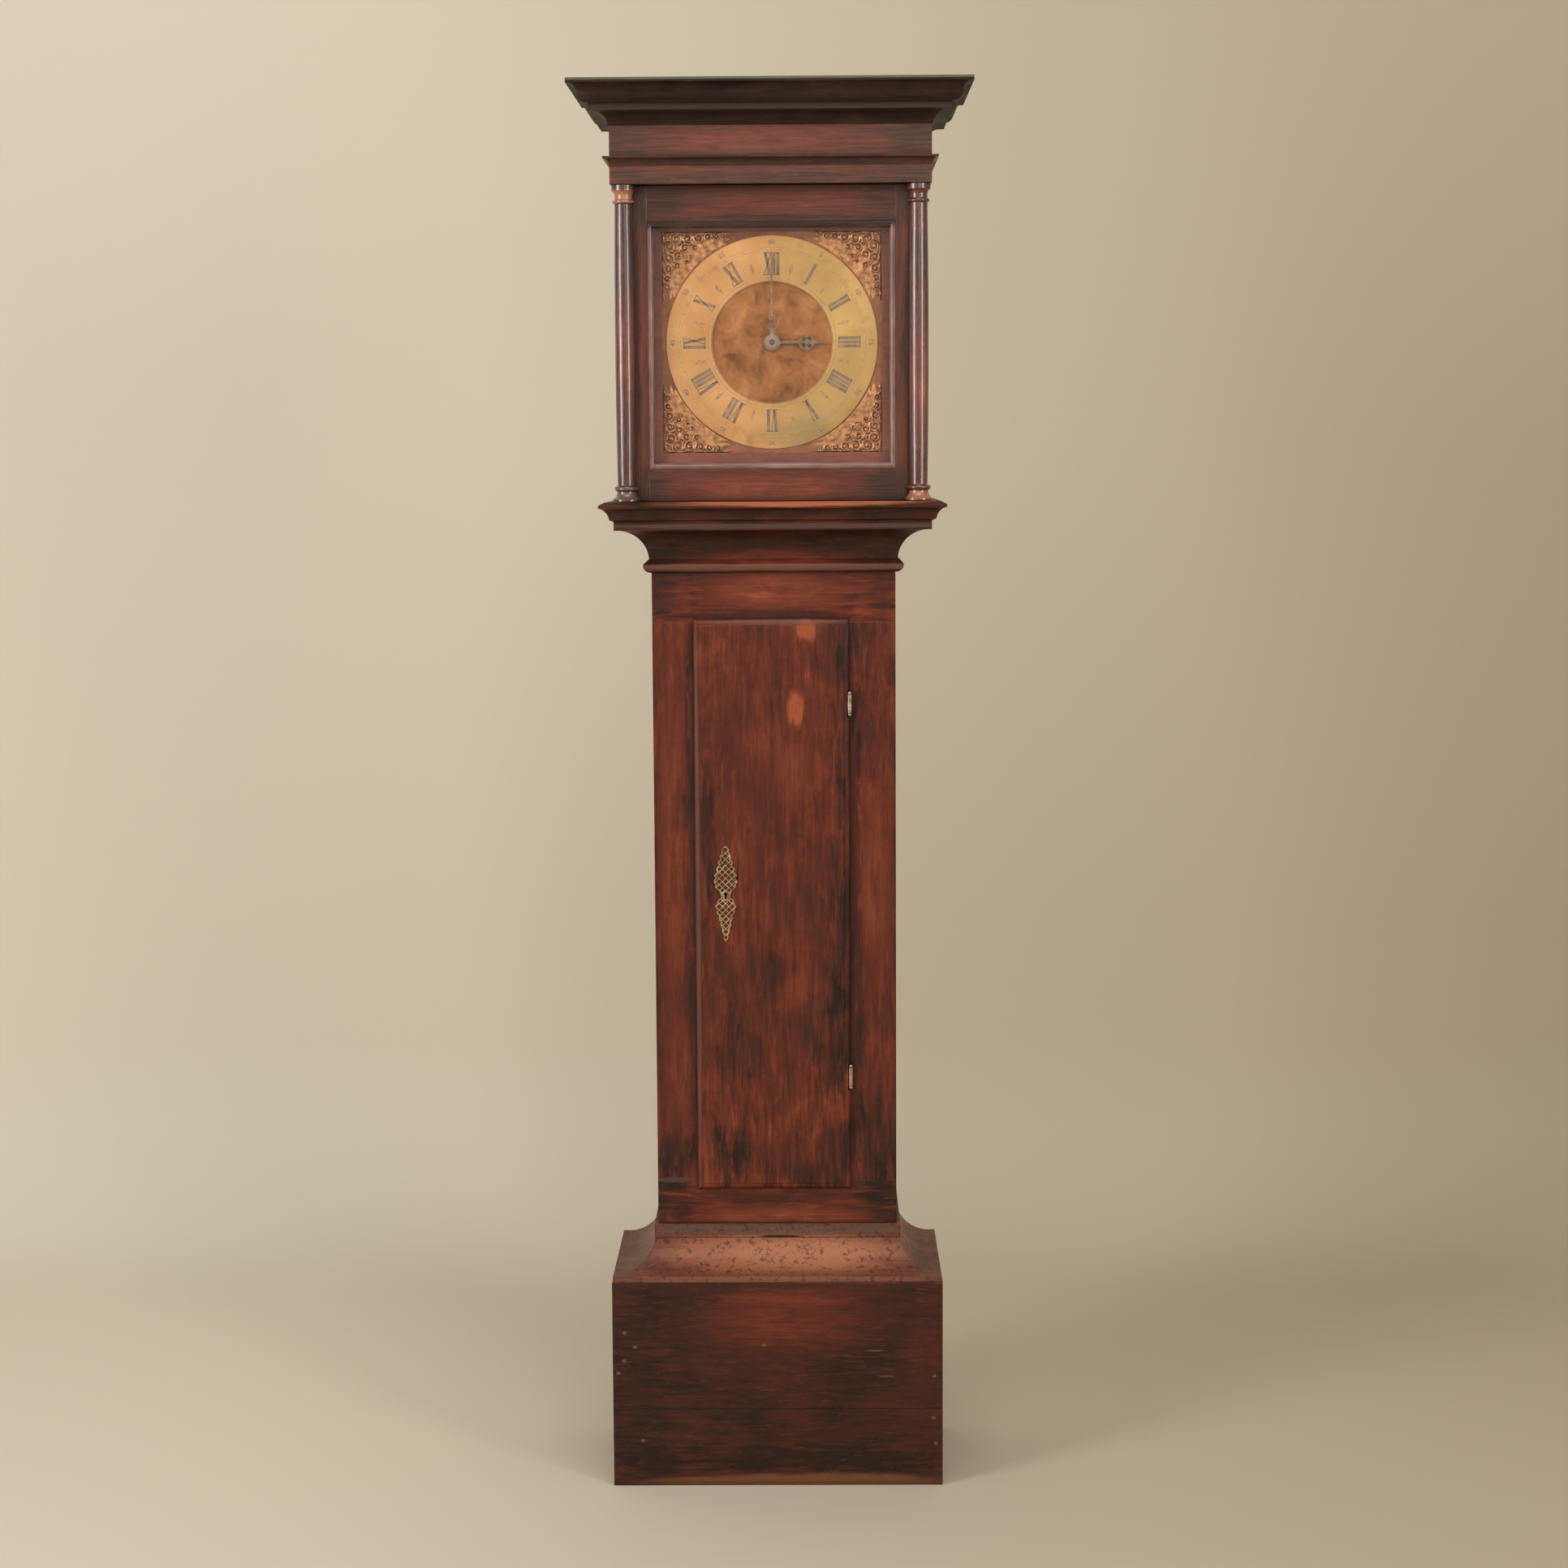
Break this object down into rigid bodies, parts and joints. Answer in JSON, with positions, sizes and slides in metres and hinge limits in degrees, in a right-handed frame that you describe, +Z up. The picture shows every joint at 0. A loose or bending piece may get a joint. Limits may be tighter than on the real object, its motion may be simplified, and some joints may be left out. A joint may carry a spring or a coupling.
{
  "type": "longcase clock",
  "caption": "Oak longcase clock with a square brass dial, columned hood door, long trunk door, weight-driven striking movement and pendulum.",
  "frame": {"origin": "middle of the footprint of the whole clock, on the floor", "axes": "+Z up, -Y towards the person who reads the dial, +X to that person's right"},
  "size_m": [0.513, 0.277, 1.837],
  "materials": {
    "oak": "dark waxed oak, worn",
    "oak_secondary": "unpolished oak",
    "dial_brass": "lacquered brass, aged",
    "cast_brass": "cast brass, dull",
    "wheel_brass": "clean brass",
    "bell_metal": "bell metal, dull",
    "blued_steel": "blued steel",
    "steel": "bright steel",
    "iron": "black iron",
    "lead": "dull lead",
    "glass": "clear old glass",
    "rope": "hemp rope"
  },
  "bodies": {
    "case": {"backboard": "oak_secondary", "backboard_spurs": "oak_secondary", "trunk_sides": "oak", "trunk_front_frame": "oak", "throat_moulding": "oak", "seatboard": "oak_secondary", "base_front_board": "oak", "base_sides": "oak", "base_moulding": "oak", "hinge_case_leaves": "dial_brass", "dial_plate": "dial_brass", "chapter_ring": "dial_brass", "dial_spandrels": "cast_brass", "movement_frame": "iron", "movement_bars": "wheel_brass", "pendulum_cock": "wheel_brass", "bell": "bell_metal", "bell_stand": "iron", "rope": "rope"},
    "hood": {"hood_sides": "oak", "hood_front_rails": "oak", "hood_frieze": "oak", "hood_base_moulding": "oak", "hood_string_moulding": "oak", "hood_cornice": "oak", "hood_top_board": "oak_secondary", "dial_mask": "oak"},
    "hood_door": {"hood_door_frame": "oak", "hood_door_bead": "oak", "hood_door_glass": "glass", "hood_columns": "oak", "hood_door_pivots": "iron"},
    "trunk_door": {"trunk_door": "oak", "hinge_door_leaves": "dial_brass", "door_escutcheon": "dial_brass", "door_lock_case": "iron"},
    "lock_bolt": {"door_lock_bolt": "iron"},
    "minute_hand": {"minute_hand": "blued_steel", "cannon_wheel": "wheel_brass"},
    "hour_hand": {"hour_hand": "blued_steel", "hour_wheel": "wheel_brass"},
    "minute_wheel": {"minute_wheel": "wheel_brass"},
    "centre_wheel": {"centre_wheel": "wheel_brass"},
    "going_great_wheel": {"going_great_wheel": "wheel_brass"},
    "third_wheel": {"third_wheel": "wheel_brass"},
    "escape_wheel": {"escape_wheel": "wheel_brass"},
    "pallet_anchor": {"pallet_anchor": "steel"},
    "pendulum": {"pendulum_rod": "iron", "pendulum_bob": "lead"},
    "strike_great_wheel": {"strike_great_wheel": "wheel_brass"},
    "strike_pulley": {"strike_pulley": "wheel_brass"},
    "hoop_wheel": {"hoop_wheel": "wheel_brass"},
    "warning_wheel": {"warning_wheel": "wheel_brass"},
    "fly": {"fly": "wheel_brass"},
    "count_wheel": {"count_wheel": "wheel_brass"},
    "hammer": {"hammer": "iron"},
    "weight": {"weight": "lead", "weight_stirrup": "wheel_brass"},
    "weight_pulley": {"weight_pulley": "wheel_brass"},
    "ring_weight": {"ring_weight": "lead"}
  },
  "joints": [
    {"name": "hood_slide", "type": "slide", "parent": "case", "child": "hood", "axis": [0, -1, 0], "range_m": [0, 0.24]},
    {"name": "hood_door_swing", "type": "hinge", "parent": "hood", "child": "hood_door", "pos_m": [0.1888, -0.0708, 1.50775], "axis": [0, 0, 1], "range_deg": [0, 100]},
    {"name": "trunk_door_swing", "type": "hinge", "parent": "case", "child": "trunk_door", "pos_m": [0.099, -0.0455, 0.542], "axis": [0, 0, 1], "range_deg": [0, 150]},
    {"name": "lock_bolt_slide", "type": "slide", "parent": "trunk_door", "child": "lock_bolt", "axis": [-1, 0, 0], "range_m": [0, 0.01]},
    {"name": "minute_hand_turn", "type": "hinge", "parent": "case", "child": "minute_hand", "pos_m": [0, -0.0215, 1.5102], "axis": [0, 1, 0], "continuous": true},
    {"name": "hour_hand_turn", "type": "hinge", "parent": "case", "child": "hour_hand", "pos_m": [0, -0.0215, 1.5102], "axis": [0, 1, 0], "continuous": true},
    {"name": "minute_wheel_turn", "type": "hinge", "parent": "case", "child": "minute_wheel", "pos_m": [0.039, -0.0215, 1.5102], "axis": [0, 1, 0], "continuous": true},
    {"name": "centre_wheel_turn", "type": "hinge", "parent": "case", "child": "centre_wheel", "pos_m": [0, -0.0215, 1.5102], "axis": [0, 1, 0], "continuous": true},
    {"name": "great_wheel_turn", "type": "hinge", "parent": "case", "child": "going_great_wheel", "pos_m": [0, -0.0215, 1.4619], "axis": [0, 1, 0], "continuous": true},
    {"name": "third_wheel_turn", "type": "hinge", "parent": "case", "child": "third_wheel", "pos_m": [-0.02164, -0.0215, 1.53184], "axis": [0, 1, 0], "continuous": true},
    {"name": "escape_wheel_turn", "type": "hinge", "parent": "case", "child": "escape_wheel", "pos_m": [0, -0.0215, 1.54476], "axis": [0, 1, 0], "continuous": true},
    {"name": "pendulum_swing", "type": "hinge", "parent": "case", "child": "pendulum", "pos_m": [0, 0.1015, 1.57075], "axis": [0, 1, 0], "range_deg": [-3, 3]},
    {"name": "anchor_swing", "type": "hinge", "parent": "case", "child": "pallet_anchor", "pos_m": [0, 0.0085, 1.57075], "axis": [0, 1, 0], "range_deg": [-3, 3]},
    {"name": "strike_wheel_turn", "type": "hinge", "parent": "case", "child": "strike_great_wheel", "pos_m": [0, -0.0215, 1.4619], "axis": [0, 1, 0], "continuous": true},
    {"name": "hoop_wheel_turn", "type": "hinge", "parent": "case", "child": "hoop_wheel", "pos_m": [0.008, -0.0215, 1.50527], "axis": [0, 1, 0], "continuous": true},
    {"name": "warning_wheel_turn", "type": "hinge", "parent": "case", "child": "warning_wheel", "pos_m": [-0.006, -0.0215, 1.52957], "axis": [0, 1, 0], "continuous": true},
    {"name": "fly_turn", "type": "hinge", "parent": "case", "child": "fly", "pos_m": [0.008, -0.0215, 1.54421], "axis": [0, 1, 0], "continuous": true},
    {"name": "count_wheel_turn", "type": "hinge", "parent": "case", "child": "count_wheel", "pos_m": [0, -0.0215, 1.4899], "axis": [0, 1, 0], "continuous": true},
    {"name": "hammer_swing", "type": "hinge", "parent": "case", "child": "hammer", "pos_m": [0.056, 0.0285, 1.4619], "axis": [0, -1, 0], "range_deg": [0, 6], "stiffness_Nm_per_rad": 0.1, "springref_deg": -17.19},
    {"name": "weight_fall", "type": "slide", "parent": "case", "child": "weight", "axis": [0, 0, -1], "range_m": [-0.28, 0.74], "deforming": ["rope"]},
    {"name": "ring_rise", "type": "slide", "parent": "case", "child": "ring_weight", "axis": [0, 0, 1], "range_m": [-0.28, 0.74]},
    {"name": "weight_pulley_turn", "type": "hinge", "parent": "weight", "child": "weight_pulley", "pos_m": [0.03, 0.0285, 1.05], "axis": [-1, 0, 0], "continuous": true},
    {"name": "strike_pulley_turn", "type": "hinge", "parent": "case", "child": "strike_pulley", "pos_m": [0, 0.0485, 1.4619], "axis": [0, 1, 0], "continuous": true}
  ],
  "couplings": [
    {"joint": "hour_hand_turn", "follows": "minute_hand_turn", "ratio": 0.083333},
    {"joint": "minute_wheel_turn", "follows": "minute_hand_turn", "ratio": -1},
    {"joint": "great_wheel_turn", "follows": "centre_wheel_turn", "ratio": -0.16667},
    {"joint": "third_wheel_turn", "follows": "centre_wheel_turn", "ratio": -7.5},
    {"joint": "escape_wheel_turn", "follows": "centre_wheel_turn", "ratio": 60},
    {"joint": "anchor_swing", "follows": "pendulum_swing", "ratio": 1},
    {"joint": "hoop_wheel_turn", "follows": "strike_wheel_turn", "ratio": -13},
    {"joint": "warning_wheel_turn", "follows": "strike_wheel_turn", "ratio": 130},
    {"joint": "fly_turn", "follows": "strike_wheel_turn", "ratio": -1040},
    {"joint": "count_wheel_turn", "follows": "strike_wheel_turn", "ratio": -0.16667},
    {"joint": "ring_rise", "follows": "weight_fall", "ratio": 1},
    {"joint": "weight_pulley_turn", "follows": "weight_fall", "rad_per_m": 50},
    {"joint": "strike_pulley_turn", "follows": "weight_fall", "rad_per_m": 66.667}
  ]
}
